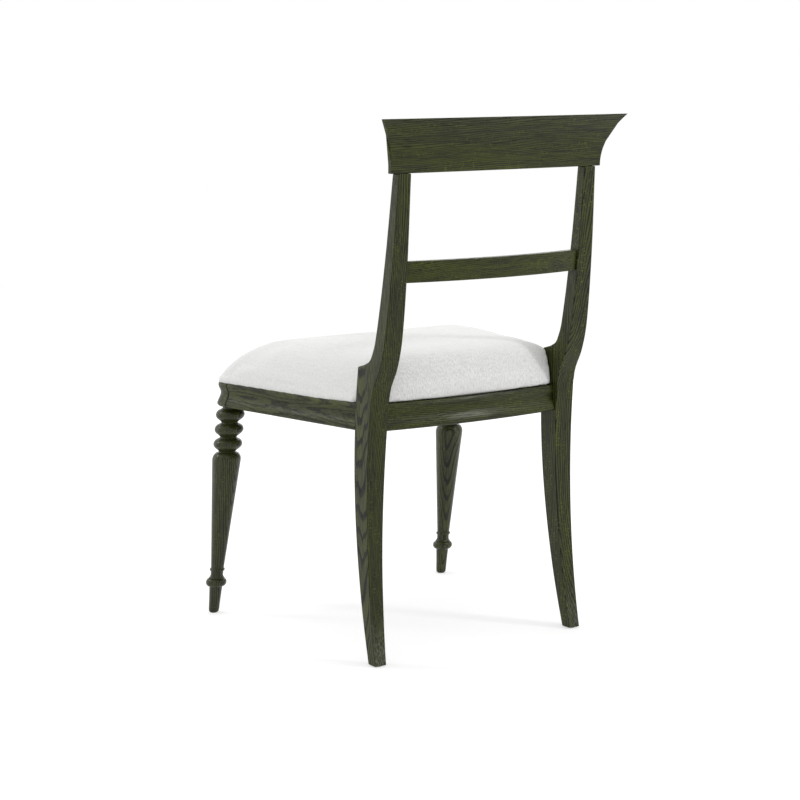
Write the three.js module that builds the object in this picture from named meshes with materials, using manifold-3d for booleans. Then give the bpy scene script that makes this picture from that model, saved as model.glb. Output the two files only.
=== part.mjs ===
// Klismos dining chair: sabre rear legs that run up into the back posts, turned and raked front legs,
// coved seat rails, a bowed back slat, a rolled crest rail and a fixed upholstered seat.
// Millimetres, +Z up. The sitter faces -Y, and +X is the sitter's left.
// While the pieces are made, X and Y are measured from the middle of the seat.

import * as THREE from 'three';
import { mergeVertices } from 'three/addons/utils/BufferGeometryUtils.js';
import Module from 'manifold-3d';

const wasm = await Module();
wasm.setup();

// Driving heights
const chairHeight = 927;
const seatRailTop = 447;
const railHeight = 46.2;
const crestHeight = 89.3;

// Seat plan, measured at the widest line of the rails' cove
const seatFrontReach = 253.5;
const seatFrontHalfWidth = 284;

// Clearances and overruns shared by every joint
const jointGap = 0.3;
const holeClearance = 0.3;
const cutOverrun = 5;

// Cove that runs round the four rails and the front blocks, as distances out from its waist
const coveTopOut = 1.8;
const coveBeadOut = 4.2;
const coveBeadDrop = 8;
const coveWaistDrop = 21.5;
const coveFlareOut = 7.1;
const coveFlareRise = 5;
const coveLipOut = 4;
const railThickness = 24;

// Rear legs and posts
const rearLegBackWaist = 174.8;
const rearLegBackWaistHeight = 275;
const rearLegBackRadius = 1500;
const rearLegFrontWaist = 135;
const rearLegFrontWaistHeight = 345;
const rearLegFrontRadius = 1390;
const rearFootOuter = 223.6;
const rearFootInner = 201;
const rearLegOuterAtSeat = 218.8;
const rearLegInnerAtSeat = 180.9;
const shinHeightShare = 0.29;
const shinInnerShare = 0.34;
const postOuterAtTop = 206.4;
const postInnerAtTop = 181.5;
const postBackAtTop = 255.6;
const postDepthAtTop = 18.3;
const earHeight = 64;
const earSlopeRise = 5.5;
const postDepthAtShoulder = 47.4;
const postDepthAboveSweep = 28.9;
const postSweepRise = 43.5;
const postEdge = 1.5;

// Crest rail
const crestOverhang = 12.6;
const crestEndRadius = 128;
const crestSetIn = 1.5;
const crestRollRadius = 120;
const crestPlanRadius = 4200;
const crestThickness = 17.5;
const crestTopThickness = 6.5;
const crestEndThickness = 10.5;

// Back slat
const slatHeight = 36;
const slatBelowCrest = 145;
const slatThickness = 16;
const slatSag = 23;
const slatRecess = 4.5;
const slatTenonLength = 14;
const slatTenonThickness = 8;
const slatTenonShoulder = 5;

// Rear seat rail
const rearRailSag = 13;
const rearRailRecess = 3;

// Front legs
const frontLegRakeShare = 0.1457;
const frontLegSplayShare = 0.0328;
const frontBlockWidth = 46.5;
const blockPastCorner = 11.4;
const frontCornerRadius = 24.5;
const leastCornerRadius = 5;
const frontFootRadius = 9.3;
const anklePlainRadius = 12;
const ankleRingHeight = 59.5;
const ankleRingRadius = 19.3;
const ankleRingHalfHeight = 8;
const ankleStepRadius = 14.5;
const ankleCoveRadius = 11.6;
const ankleCoveHeight = 75.5;
const littleRingHeight = 84.5;
const littleRingRadius = 14;
const littleRingHalfHeight = 2.6;
const vaseFootRadius = 12.1;
const vaseFootHeight = 89.7;
const vaseRadius = 26.5;
const vaseShoulderHeight = 15;
const beadCount = 3;
const beadPitch = 27.75;
const beadRadius = 26.5;
const beadNeckRadius = 15;
const topBeadBelowBlock = 19.3;

// Upholstered seat
const fabricThickness = 1;
const hemWidth = 40;
const cushionHeight = 81.3;
const cushionDrawIn = 2;
const rearWallHeight = 22.7;
const sideWallHeight = 11.9;
const frontWallHeight = 8;
const rearShoulderHeight = 7.7;
const sideShoulderHeight = 39.7;
const frontShoulderHeight = 6.6;
const rearShoulderFullness = 9.6;
const sideShoulderFullness = 12;
const frontShoulderFullness = 6.5;
const crownFullness = 7.5;
const crownMiddle = 109.4;
const cushionPostGap = 0.8;
const boardThickness = 12;

// Dust cover under the seat board
const dustCoverThickness = 0.8;
const dustCoverMargin = 3;

// Corner blocks and fixings
const cornerBlockHeight = 30;
const cornerBlockReach = 52;
const dowelRadius = 4;
const dowelLength = 30;
const dowelFromRailEdge = 12;
const crestDowelRadius = 3;
const crestDowelLength = 22;
const crestDowelSpacing = 12;
const screwRadius = 2;
const screwHeadRadius = 4;
const screwHeadHeight = 3;
const screwSinkReach = 20;
const blockScrewLength = 34;
const seatScrewLength = 35;
const railScrewShare = 0.28;
const sideScrewShare = 0.72;
const seatScrewShare = 0.5;
const seatScrewInwardShare = 0.2;

// Glides nailed under the feet
const glideRadius = 7;
const glideThickness = 1.5;
const glideNailRadius = 1.2;
const glideNailLength = 14;

// Numbers of steps and sides that the curved faces are cut into
const coveSteps = 12;
const rearLegStepsBelowRail = 11;
const rearLegStepsAtSeat = 5;
const postSweepSteps = 6;
const postSteps = 9;
const slatSteps = 16;
const crestRiseSteps = 8;
const crestMiddleSteps = 14;
const crestEndSteps = 3;
const crestEndShare = 0.8;
const rearRailSteps = 14;
const cornerSteps = 7;
const ringSteps = 7;
const littleRingSteps = 4;
const vaseShoulderSteps = 5;
const turnedSides = 18;
const rodSides = 10;
const glideSides = 14;
const cushionRearSteps = 12;
const cushionSideSteps = 5;
const cushionFrontSteps = 7;

// Materials
const stainedOak = new THREE.MeshStandardMaterial({ color: 0x4a4c3c, roughness: 0.45, metalness: 0 });
const linen = new THREE.MeshStandardMaterial({ color: 0xe4e2dd, roughness: 0.95, metalness: 0 });
const foam = new THREE.MeshStandardMaterial({ color: 0xe9dfb8, roughness: 0.95, metalness: 0 });
const plywood = new THREE.MeshStandardMaterial({ color: 0xb99a6b, roughness: 0.7, metalness: 0 });
const beech = new THREE.MeshStandardMaterial({ color: 0xcaa472, roughness: 0.6, metalness: 0 });
const blackCloth = new THREE.MeshStandardMaterial({ color: 0x1c1c1d, roughness: 0.95, metalness: 0 });
const steel = new THREE.MeshStandardMaterial({ color: 0x8f9296, roughness: 0.35, metalness: 1 });
const nylon = new THREE.MeshStandardMaterial({ color: 0x2a2a2b, roughness: 0.5, metalness: 0 });

// Heights that follow from the driving ones
const railBottom = seatRailTop - railHeight;
const railMiddle = seatRailTop - railHeight / 2;
const flareHeight = railBottom + coveFlareRise;
const postTop = chairHeight - crestHeight;
const crestBottom = postTop + jointGap;
const legBottom = glideThickness + jointGap;
const slatTop = postTop - slatBelowCrest;
const slatBottom = slatTop - slatHeight;
const earTop = seatRailTop + earHeight;
const cushionBase = seatRailTop + jointGap;

const chair = new THREE.Group();
chair.name = 'klismos_chair';

function point(x, y, z) {
  return new THREE.Vector3(x, y, z);
}

// A smooth value over height, through a few known ones: Hermite pieces with the neighbours' slopes
function smoothThrough(places) {
  const slopeAt = (i) => {
    const before = places[Math.max(i - 1, 0)];
    const after = places[Math.min(i + 1, places.length - 1)];
    return (after[1] - before[1]) / (after[0] - before[0]);
  };
  return (height) => {
    let i = 0;
    while (i < places.length - 2 && height > places[i + 1][0]) i += 1;
    const [start, from] = places[i];
    const [end, to] = places[i + 1];
    const span = end - start;
    const t = THREE.MathUtils.clamp((height - start) / span, 0, 1);
    const rise = (3 - 2 * t) * t * t;
    const lead = t * (1 - t) * (1 - t) * span * slopeAt(i);
    const tail = t * t * (t - 1) * span * slopeAt(i + 1);
    return from + (to - from) * rise + lead + tail;
  };
}

function evenly(from, to, count) {
  return Array.from({ length: count + 1 }, (unused, i) => THREE.MathUtils.lerp(from, to, i / count));
}

function signedVolume(positions, index) {
  const [a, b, c] = [point(0, 0, 0), point(0, 0, 0), point(0, 0, 0)];
  let volume = 0;
  for (let i = 0; i < index.length; i += 3) {
    a.fromArray(positions, index[i] * 3);
    b.fromArray(positions, index[i + 1] * 3);
    c.fromArray(positions, index[i + 2] * 3);
    volume += a.dot(b.cross(c));
  }
  return volume;
}

function outwardGeometry(positions, index) {
  if (signedVolume(positions, index) < 0) index.reverse();
  const geometry = new THREE.BufferGeometry();
  geometry.setAttribute('position', new THREE.Float32BufferAttribute(positions, 3));
  geometry.setIndex(index);
  return geometry;
}

// Closed skin over a row of like rings, capped at both ends; the flat outline says how a cap is filled
function loft(rings, flatOutline) {
  const size = rings[0].length;
  const positions = rings.flat().flatMap((corner) => corner.toArray());
  const index = [];
  for (let r = 0; r < rings.length - 1; r += 1) {
    for (let i = 0; i < size; i += 1) {
      const next = (i + 1) % size;
      const [a, b] = [r * size + i, r * size + next];
      index.push(a, b, b + size, a, b + size, a + size);
    }
  }
  const capFaces = THREE.ShapeUtils.triangulateShape(flatOutline, []);
  const last = (rings.length - 1) * size;
  const facesBack = THREE.ShapeUtils.isClockWise(flatOutline) ? 1 : -1;
  capFaces.forEach(([a, b, c]) => {
    if (facesBack > 0) {
      index.push(a, b, c, last + c, last + b, last + a);
    } else {
      index.push(c, b, a, last + a, last + b, last + c);
    }
  });
  return outwardGeometry(positions, index);
}

function solidOf(shape) {
  if (shape instanceof wasm.Manifold) return shape;
  const bare = shape.clone();
  bare.deleteAttribute('normal');
  bare.deleteAttribute('uv');
  const merged = mergeVertices(bare);
  const vertProperties = new Float32Array(merged.attributes.position.array);
  const triVerts = new Uint32Array(merged.index.array);
  return new wasm.Manifold(new wasm.Mesh({ numProp: 3, vertProperties, triVerts }));
}

function geometryOf(shape) {
  if (shape instanceof THREE.BufferGeometry) return shape;
  const { vertProperties, triVerts } = shape.getMesh();
  const geometry = new THREE.BufferGeometry();
  geometry.setAttribute('position', new THREE.Float32BufferAttribute(vertProperties, 3));
  geometry.setIndex(Array.from(triVerts));
  return geometry;
}

function cut(shape, cutters) {
  return cutters.reduce((solid, cutter) => solid.subtract(solidOf(cutter)), solidOf(shape));
}

function join(shape, others) {
  return others.reduce((solid, other) => solid.add(solidOf(other)), solidOf(shape));
}

function mirrored(shape) {
  const geometry = geometryOf(shape);
  const copy = geometry.index ? geometry : mergeVertices(geometry.clone());
  const positions = Array.from(copy.attributes.position.array, (value, i) => (i % 3 === 0 ? -value : value));
  return outwardGeometry(positions, Array.from(copy.index.array));
}

function addPiece(name, shape, material) {
  const geometry = geometryOf(shape);
  const shown = geometry.index ? geometry.toNonIndexed() : geometry;
  shown.computeVertexNormals();
  const mesh = new THREE.Mesh(shown, material);
  mesh.name = name;
  chair.add(mesh);
}

function addPair(name, shape, material) {
  addPiece(`${name}_left`, shape, material);
  addPiece(`${name}_right`, mirrored(shape), material);
}

function boxBetween(low, high) {
  const size = high.clone().sub(low);
  const middle = high.clone().add(low).multiplyScalar(1 / 2);
  return new THREE.BoxGeometry(size.x, size.y, size.z).translate(middle.x, middle.y, middle.z);
}

// Moves a geometry made along +Y from the origin so that it starts at one point and runs along a direction
function aimed(geometry, start, direction) {
  const turn = new THREE.Quaternion().setFromUnitVectors(point(0, 1, 0), direction.clone().normalize());
  return geometry.applyQuaternion(turn).translate(start.x, start.y, start.z);
}

function rod(start, direction, radius, length) {
  const cylinder = new THREE.CylinderGeometry(radius, radius, length, rodSides).translate(0, length / 2, 0);
  return aimed(cylinder, start, direction);
}

// Plan of the seat frame, from the waist line of the cove on each side

function rearLegBack(height) {
  return rearLegBackWaist + (height - rearLegBackWaistHeight) ** 2 / (2 * rearLegBackRadius);
}

function rearLegFront(height) {
  return rearLegFrontWaist + (height - rearLegFrontWaistHeight) ** 2 / (2 * rearLegFrontRadius);
}

const rearLegOuterRun = smoothThrough([
  [0, rearFootOuter],
  [seatRailTop, rearLegOuterAtSeat],
  [postTop, postOuterAtTop],
]);
const shinHeight = seatRailTop * shinHeightShare;
const rearLegInnerRun = smoothThrough([
  [0, rearFootInner],
  [shinHeight, THREE.MathUtils.lerp(rearFootInner, rearLegInnerAtSeat, shinInnerShare)],
  [seatRailTop, rearLegInnerAtSeat],
  [postTop, postInnerAtTop],
]);

const sideRun = seatFrontReach + rearLegFront(seatRailTop);
const sideSlope = (seatFrontHalfWidth - rearLegOuterRun(flareHeight)) / sideRun;
const sideSecant = Math.hypot(1, sideSlope);
const frontWaist = -seatFrontReach + coveFlareOut;

function sideWaist(y) {
  return seatFrontHalfWidth - sideSlope * (y + seatFrontReach) - coveFlareOut * sideSecant;
}

// The front block is deep enough for the whole round of its outer corner, at the flare where it is largest
const cornerRoundDepth = frontCornerRadius + (frontCornerRadius + coveFlareOut) * sideSlope / sideSecant;
const frontBlockDepth = cornerRoundDepth + blockPastCorner;
const sideJoint = frontWaist + frontBlockDepth;
const blockMiddleY = frontWaist + frontBlockDepth / 2;
const frontJoint = sideWaist(blockMiddleY) - frontBlockWidth;
const blockMiddleX = frontJoint + frontBlockWidth / 2;
const rearWaistAtLegs = rearLegBack(flareHeight) - rearRailRecess - coveFlareOut;

function rearWaist(x) {
  const share = x / rearLegInnerAtSeat;
  return rearWaistAtLegs + rearRailSag * (1 - share * share);
}

// Face of the cove from its top edge down to its lip, as distance out and height
function coveFace() {
  const curve = new THREE.SplineCurve([
    new THREE.Vector2(coveTopOut, seatRailTop),
    new THREE.Vector2(coveBeadOut, seatRailTop - coveBeadDrop),
    new THREE.Vector2(0, seatRailTop - coveWaistDrop),
    new THREE.Vector2(coveFlareOut, flareHeight),
    new THREE.Vector2(coveLipOut, railBottom),
  ]);
  return curve.getPoints(coveSteps);
}

function railOutline(thickness) {
  const face = coveFace();
  return [...face, new THREE.Vector2(-thickness, railBottom), new THREE.Vector2(-thickness, seatRailTop)];
}

// Rear legs and posts, each one piece from the floor to the crest rail

const postBackShares = [[0.074, 0.094], [0.163, 0.354], [0.29, 0.563], [0.62, 0.813]];
const postBack = smoothThrough([
  [railMiddle, rearLegBack(railMiddle)],
  [seatRailTop, rearLegBack(seatRailTop)],
  ...postBackShares.map(([rise, reach]) => [
    THREE.MathUtils.lerp(seatRailTop, postTop, rise),
    THREE.MathUtils.lerp(rearLegBack(seatRailTop), postBackAtTop, reach),
  ]),
  [postTop, postBackAtTop],
]);

// The post is deep at the shoulder above the ear and thins in a short sweep, then slowly up to the crest
const shoulder = earTop + earSlopeRise;
const sweepTop = shoulder + postSweepRise;
const sweepShares = [[0.17, 0.62], [0.54, 0.87]];
const postDepth = smoothThrough([
  [shoulder, postDepthAtShoulder],
  ...sweepShares.map(([rise, thinned]) => [
    THREE.MathUtils.lerp(shoulder, sweepTop, rise),
    THREE.MathUtils.lerp(postDepthAtShoulder, postDepthAboveSweep, thinned),
  ]),
  [sweepTop, postDepthAboveSweep],
  [postTop, postDepthAtTop],
]);

function legBackAt(height) {
  return height < seatRailTop ? rearLegBack(height) : postBack(height);
}

function legFrontAt(height) {
  return height < shoulder ? rearLegFront(height) : postBack(height) - postDepth(height);
}

// Level outline with its four edges eased
function easedRectangle(left, right, front, back, edge, height) {
  return [
    point(left + edge, front, height),
    point(right - edge, front, height),
    point(right, front + edge, height),
    point(right, back - edge, height),
    point(right - edge, back, height),
    point(left + edge, back, height),
    point(left, back - edge, height),
    point(left, front + edge, height),
  ];
}

function flatOf(ring, across, up) {
  return ring.map((corner) => new THREE.Vector2(corner[across], corner[up]));
}

function rearLegBlank() {
  const heights = [
    ...evenly(legBottom, railBottom, rearLegStepsBelowRail),
    ...evenly(railBottom, earTop, rearLegStepsAtSeat).slice(1),
    ...evenly(shoulder, sweepTop, postSweepSteps),
    ...evenly(sweepTop, postTop, postSteps).slice(1),
  ];
  const rings = heights.map((height) => easedRectangle(
    rearLegInnerRun(height),
    rearLegOuterRun(height),
    legFrontAt(height),
    legBackAt(height),
    postEdge,
    height,
  ));
  return loft(rings, flatOf(rings[0], 'x', 'y'));
}

// Dowels, as where each one starts and the way it points

const dowelHeights = [railBottom + dowelFromRailEdge, seatRailTop - dowelFromRailEdge];
const dowelHalf = dowelLength / 2;
const railCentreOut = railThickness / 2;

function dowelSites() {
  const backward = point(0, 1, 0);
  const outward = point(1, 0, 0);
  const sideX = (y) => sideWaist(y) - railCentreOut * sideSecant;
  return dowelHeights.flatMap((height, i) => {
    const legFace = legFrontAt(height);
    const legSide = rearLegInnerRun(height);
    const joints = [
      ['rear_side', point(sideX(legFace), legFace - dowelHalf, height), backward],
      ['rear_rail', point(legSide - dowelHalf, rearWaist(legSide) - railCentreOut, height), outward],
      ['front_side', point(sideX(sideJoint), sideJoint - dowelHalf, height), backward],
      ['front_rail', point(frontJoint - dowelHalf, frontWaist + railCentreOut, height), outward],
    ];
    const level = i === 0 ? 'lower' : 'upper';
    return joints.map(([joint, start, way]) => ({ joint, level, start, way }));
  });
}

function dowelHole({ start, way }, radius = dowelRadius, length = dowelLength) {
  const begin = start.clone().addScaledVector(way, -holeClearance);
  return rod(begin, way, radius + holeClearance, length + 2 * holeClearance);
}

function crestDowelSites() {
  const middle = point(
    (postOuterAtTop + postInnerAtTop) / 2,
    postBackAtTop - postDepthAtTop / 2,
    postTop - crestDowelLength / 2,
  );
  return [-1, 1].map((side) => ({
    start: middle.clone().add(point(side * crestDowelSpacing / 2, 0, 0)),
    way: point(0, 0, 1),
    name: side < 0 ? 'inner' : 'outer',
  }));
}

// Glide: a disc with a nail up into the foot

function footCentre() {
  return point(
    (rearLegInnerRun(0) + rearLegOuterRun(0)) / 2,
    (rearLegFront(0) + rearLegBack(0)) / 2,
    0,
  );
}

function frontAxis(height) {
  const drop = railMiddle - height;
  return point(
    blockMiddleX + drop * frontLegSplayShare,
    blockMiddleY - drop * frontLegRakeShare,
    height,
  );
}

function glide(centre) {
  const outline = [
    [0, 0],
    [glideRadius, 0],
    [glideRadius, glideThickness],
    [glideNailRadius, glideThickness],
    [glideNailRadius, glideThickness + glideNailLength],
    [0, glideThickness + glideNailLength],
  ].map(([radius, height]) => new THREE.Vector2(radius, height));
  return new THREE.LatheGeometry(outline, glideSides).rotateX(Math.PI / 2).translate(centre.x, centre.y, 0);
}

function glideHole(centre) {
  const start = point(centre.x, centre.y, 0);
  const length = glideThickness + glideNailLength + holeClearance;
  return rod(start, point(0, 0, 1), glideNailRadius + holeClearance, length);
}

// Back slat: bowed to the rear, with a tenon into each post

const slatMiddleHeight = (slatTop + slatBottom) / 2;

function slatBackAt(x, height) {
  const share = x / rearLegInnerRun(slatMiddleHeight);
  return legBackAt(height) - slatRecess + slatSag * (1 - share * share);
}

function slatTenon(clearance) {
  const shoulderX = rearLegInnerRun(slatMiddleHeight);
  const centre = slatBackAt(shoulderX, slatMiddleHeight) - slatThickness / 2;
  const low = point(
    shoulderX - slatTenonLength,
    centre - slatTenonThickness / 2 - clearance,
    slatBottom + slatTenonShoulder - clearance,
  );
  const high = point(
    shoulderX + slatTenonLength + clearance,
    centre + slatTenonThickness / 2 + clearance,
    slatTop - slatTenonShoulder + clearance,
  );
  return boxBetween(low, high);
}

function backSlat() {
  const shoulderAt = (height) => rearLegInnerRun(height) - jointGap;
  const corners = [[slatBottom, 1], [slatBottom, 0], [slatTop, 0], [slatTop, 1]];
  const rings = evenly(-1, 1, slatSteps).map((share) => corners.map(([height, front]) => {
    const x = share * shoulderAt(height);
    return point(x, slatBackAt(x, height) - front * slatThickness, height);
  }));
  const body = loft(rings, flatOf(rings[0], 'y', 'z'));
  const tenon = slatTenon(0);
  return join(body, [tenon, mirrored(tenon)]);
}

// Crest rail: rolled backward over its height, nearly straight in plan, with hollow ends

function crestHalfWidth(rise) {
  const reach = crestEndRadius - Math.sqrt(crestEndRadius ** 2 - rise ** 2);
  return rearLegOuterRun(postTop) + crestOverhang + reach;
}

function crestBackAt(x, rise) {
  const postX = (postOuterAtTop + postInnerAtTop) / 2;
  const bow = (postX * postX - x * x) / (2 * crestPlanRadius);
  return postBackAtTop - crestSetIn + bow + rise ** 2 / (2 * crestRollRadius);
}

function crestThicknessAt(x, rise) {
  const end = crestHalfWidth(rise);
  const solidTo = postOuterAtTop;
  const past = THREE.MathUtils.clamp((Math.abs(x) - solidTo) / (end - solidTo), 0, 1);
  const lower = THREE.MathUtils.lerp(crestThickness, crestEndThickness, past);
  return THREE.MathUtils.lerp(lower, crestTopThickness, rise / crestHeight);
}

function crestRail() {
  const height = chairHeight - crestBottom;
  const rises = evenly(0, height, crestRiseSteps);
  const shares = [
    ...evenly(-1, -crestEndShare, crestEndSteps),
    ...evenly(-crestEndShare, crestEndShare, crestMiddleSteps).slice(1),
    ...evenly(crestEndShare, 1, crestEndSteps).slice(1),
  ];
  const rings = shares.map((share) => {
    const places = rises.map((rise) => [share * crestHalfWidth(rise), rise]);
    const back = places.map(([x, rise]) => point(x, crestBackAt(x, rise), crestBottom + rise));
    const front = places.map(([x, rise]) => point(
      x,
      crestBackAt(x, rise) - crestThicknessAt(x, rise),
      crestBottom + rise,
    ));
    return [...back, ...front.reverse()];
  });
  const body = loft(rings, flatOf(rings[crestEndSteps], 'y', 'z'));
  const holes = crestDowelSites().map((site) => dowelHole(site, crestDowelRadius, crestDowelLength));
  return cut(body, [...holes, ...holes.map(mirrored)]);
}

function rearLeg() {
  const sites = dowelSites().filter(({ joint }) => joint.startsWith('rear'));
  const cutters = [
    ...sites.map((site) => dowelHole(site)),
    ...crestDowelSites().map((site) => dowelHole(site, crestDowelRadius, crestDowelLength)),
    slatTenon(holeClearance),
    glideHole(footCentre()),
  ];
  return cut(rearLegBlank(), cutters);
}

// Seat rails

function railScrewSites() {
  return cornerScrewSites().filter(({ intoBoard }) => !intoBoard);
}

function sideRail() {
  const outline = railOutline(railThickness);
  const sectionAt = (yAt) => outline.map((corner) => {
    const y = yAt(corner.y);
    return point(sideWaist(y) + corner.x * sideSecant, y, corner.y);
  });
  const rings = [
    sectionAt(() => sideJoint + jointGap),
    sectionAt((height) => legFrontAt(height) - jointGap),
  ];
  const holes = dowelSites().filter(({ joint }) => joint.endsWith('side')).map((site) => dowelHole(site));
  const screws = railScrewSites().filter(({ rail }) => rail === 'side').map(screwHole);
  return cut(loft(rings, outline), [...holes, ...screws]);
}

function rearRail() {
  const outline = railOutline(railThickness);
  const rings = evenly(-1, 1, rearRailSteps).map((share) => outline.map((corner) => {
    const x = share * (rearLegInnerRun(corner.y) - jointGap);
    return point(x, rearWaist(x) + corner.x, corner.y);
  }));
  const holes = dowelSites().filter(({ joint }) => joint === 'rear_rail').map((site) => dowelHole(site));
  const screws = railScrewSites().filter(({ rail }) => rail === 'rear').map(screwHole);
  const cutters = [...holes, ...screws];
  return cut(loft(rings, outline), [...cutters, ...cutters.map(mirrored)]);
}

function frontRail() {
  const outline = railOutline(railThickness);
  const end = frontJoint - jointGap;
  const rings = [-end, end].map((x) => outline.map((corner) => point(x, frontWaist - corner.x, corner.y)));
  const holes = dowelSites().filter(({ joint }) => joint === 'front_rail').map((site) => dowelHole(site));
  const screws = railScrewSites().filter(({ rail }) => rail === 'front').map(screwHole);
  const cutters = [...holes, ...screws];
  return cut(loft(rings, outline), [...cutters, ...cutters.map(mirrored)]);
}

// Front legs: a block with the rails' cove carried round its corner, and a turned and raked leg below

const cornerTurns = evenly(0, 1, cornerSteps);

// Rounded front corner of the seat's plan, some distance out from the waist
function cornerArc(out) {
  const radius = Math.max(frontCornerRadius + out, leastCornerRadius);
  const centreY = frontWaist - out + radius;
  const centreX = sideWaist(centreY) + (out - radius) * sideSecant;
  const sideAngle = Math.atan(sideSlope);
  return cornerTurns.map((turn) => {
    const angle = THREE.MathUtils.lerp(sideAngle, -Math.PI / 2, turn);
    return [centreX + radius * Math.cos(angle), centreY + radius * Math.sin(angle)];
  });
}

function blockBody() {
  const rings = coveFace().map(({ x: out, y: height }) => [
    point(sideWaist(sideJoint) + out * sideSecant, sideJoint, height),
    ...cornerArc(out).map(([x, y]) => point(x, y, height)),
    point(frontJoint, frontWaist - out, height),
    point(frontJoint, sideJoint, height),
  ]);
  return loft(rings, flatOf(rings[0], 'x', 'y'));
}

function roundRing(centre, halfHeight, inner, outer, steps = ringSteps) {
  return evenly(-Math.PI / 2, Math.PI / 2, steps).map((angle) => [
    inner + (outer - inner) * Math.cos(angle),
    centre + halfHeight * Math.sin(angle),
  ]);
}

// A bead is fuller above than below: shares of half its pitch upward and of its swell outward
const beadShares = [
  [-0.93, 0.02], [-0.77, 0.17], [-0.59, 0.45], [-0.36, 0.77], [-0.1, 0.96],
  [0.14, 1], [0.41, 0.91], [0.68, 0.67], [0.87, 0.25], [1, 0],
];

function turnedOutline() {
  const topBead = railBottom - topBeadBelowBlock;
  const bottomBead = topBead - (beadCount - 1) * beadPitch;
  const lowestNeck = bottomBead - beadPitch / 2;
  const vaseTop = lowestNeck - vaseShoulderHeight;
  const shoulderRound = evenly(0, Math.PI / 2, vaseShoulderSteps).map((angle) => [
    beadNeckRadius + (vaseRadius - beadNeckRadius) * Math.cos(angle),
    vaseTop + vaseShoulderHeight * Math.sin(angle),
  ]);
  const swell = beadRadius - beadNeckRadius;
  const beads = evenly(bottomBead, topBead, beadCount - 1).flatMap((centre) => (
    beadShares.map(([rise, out]) => [beadNeckRadius + swell * out, centre + rise * beadPitch / 2])
  ));
  const ankleTop = ankleRingHeight + ankleRingHalfHeight;
  return [
    [0, legBottom],
    [frontFootRadius, legBottom],
    ...roundRing(ankleRingHeight, ankleRingHalfHeight, anklePlainRadius, ankleRingRadius),
    [ankleStepRadius, ankleTop],
    [ankleCoveRadius, ankleCoveHeight],
    ...roundRing(littleRingHeight, littleRingHalfHeight, ankleCoveRadius, littleRingRadius, littleRingSteps),
    [vaseFootRadius, vaseFootHeight],
    ...shoulderRound,
    ...beads,
    [beadNeckRadius, railBottom + topBeadBelowBlock / 2],
    [0, railBottom + topBeadBelowBlock / 2],
  ].map(([radius, height]) => new THREE.Vector2(radius, height));
}

// The rings lie level: each round is centred on the raked line, so the turning leans without tipping
function turnedLeg() {
  const turning = new THREE.LatheGeometry(turnedOutline(), turnedSides).rotateX(Math.PI / 2);
  const foot = frontAxis(0);
  const lean = new THREE.Matrix4().makeShear(0, 0, 0, 0, -frontLegSplayShare, frontLegRakeShare);
  return turning.applyMatrix4(lean).translate(foot.x, foot.y, 0);
}

function frontLeg() {
  const whole = join(blockBody(), [turnedLeg()]);
  const sites = dowelSites().filter(({ joint }) => joint.startsWith('front'));
  return cut(whole, [...sites.map((site) => dowelHole(site)), glideHole(frontAxis(0))]);
}

// Corner blocks, glued and screwed into the four inner corners

const cornerBlockBottom = seatRailTop - cornerBlockHeight;
const sideInner = (y) => sideWaist(y) - railThickness * sideSecant;
const rearInner = (x) => rearWaist(x) - railThickness;
const frontInner = frontWaist + railThickness;

// Plans of the blocks: two corners on the cross rail, two on the side rail and one at the leg
function frontCornerPlan() {
  const alongFront = frontJoint - cornerBlockReach;
  const alongSide = sideJoint + cornerBlockReach;
  return [
    [frontJoint - jointGap, frontInner + jointGap],
    [alongFront, frontInner + jointGap],
    [sideInner(alongSide) - jointGap * sideSecant, alongSide],
    [sideInner(sideJoint) - jointGap * sideSecant, sideJoint + jointGap],
    [frontJoint - jointGap, sideJoint + jointGap],
  ];
}

function rearCornerPlan() {
  const legSide = rearLegInnerRun(seatRailTop) - jointGap;
  const legFace = legFrontAt(cornerBlockBottom) - jointGap;
  const alongRear = legSide - cornerBlockReach;
  const alongSide = legFace - cornerBlockReach;
  return [
    [legSide, rearInner(legSide) - jointGap],
    [alongRear, rearInner(alongRear) - jointGap],
    [sideInner(alongSide) - jointGap * sideSecant, alongSide],
    [sideInner(legFace) - jointGap * sideSecant, legFace],
    [legSide, legFace],
  ];
}

const cornerPlans = { front: frontCornerPlan(), rear: rearCornerPlan() };

function cornerScrewSites() {
  const below = cornerBlockBottom + cornerBlockHeight / 2;
  return Object.entries(cornerPlans).flatMap(([corner, plan]) => {
    const [, alongRail, alongSide, , atLeg] = plan.map(([x, y]) => new THREE.Vector2(x, y));
    const towardRail = corner === 'front' ? point(0, -1, 0) : point(0, 1, 0);
    const nearRail = alongRail.clone().lerp(alongSide, railScrewShare);
    const nearSide = alongRail.clone().lerp(alongSide, sideScrewShare);
    const middle = alongRail.clone().lerp(alongSide, seatScrewShare).lerp(atLeg, seatScrewInwardShare);
    return [
      { corner, rail: corner, start: point(nearRail.x, nearRail.y, below), way: towardRail },
      { corner, rail: 'side', start: point(nearSide.x, nearSide.y, below), way: point(1, 0, 0) },
      { corner, intoBoard: true, start: point(middle.x, middle.y, cornerBlockBottom), way: point(0, 0, 1) },
    ];
  });
}

function screwLengthOf({ intoBoard }) {
  return intoBoard ? seatScrewLength : blockScrewLength;
}

// Countersunk screw, its head first along the way it is driven
function screw(site) {
  const length = screwLengthOf(site);
  const outline = [
    [0, 0],
    [screwHeadRadius, 0],
    [screwRadius, screwHeadHeight],
    [screwRadius, length],
    [0, length],
  ].map(([radius, along]) => new THREE.Vector2(radius, along));
  return aimed(new THREE.LatheGeometry(outline, rodSides), site.start, site.way);
}

function screwHole(site) {
  const length = screwLengthOf(site) + holeClearance;
  return rod(site.start.clone(), site.way, screwRadius + holeClearance, length);
}

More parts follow.
